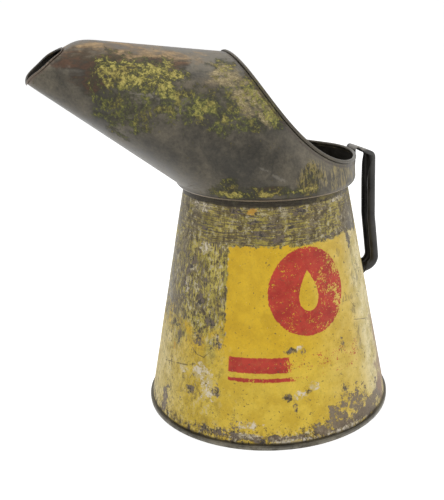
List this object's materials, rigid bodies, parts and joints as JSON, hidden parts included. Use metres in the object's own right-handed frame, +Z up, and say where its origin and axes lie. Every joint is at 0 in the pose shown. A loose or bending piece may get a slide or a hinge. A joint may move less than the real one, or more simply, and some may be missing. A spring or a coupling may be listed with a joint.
{
  "type": "oil jug",
  "caption": "Conical sheet-metal oil jug with a collar that runs into a broad hooded pouring spout, an open filling rim and a strap handle.",
  "frame": {"origin": "on the ground, under the middle of the jug's overall box; the body's axis is 38.4 mm from it along +X", "axes": "+Z up, -X towards the spout's mouth, +X towards the handle, +Y across; the XZ plane through the origin is the plane of symmetry"},
  "size_m": [0.2876, 0.2106, 0.3092],
  "materials": {
    "body_paint": "worn yellow enamel over dark tinned steel, chipped and scratched",
    "base_steel": "dull, dark weathered steel",
    "hood_steel": "dark grey weathered steel with flecks of old yellow paint",
    "rim_wire": "bare drawn steel wire",
    "handle_enamel": "semi-gloss black enamel worn to metal on its edges",
    "solder": "dull grey soft solder"
  },
  "bodies": {
    "root": {"body_shell": "body_paint", "base_plate": "base_steel", "base_seam_solder": "solder", "shoulder_seam_solder": "solder", "hood": "hood_steel", "rear_rim_wire": "rim_wire", "handle": "handle_enamel", "handle_top_solder": "solder", "handle_foot_solder": "solder"}
  },
  "joints": []
}
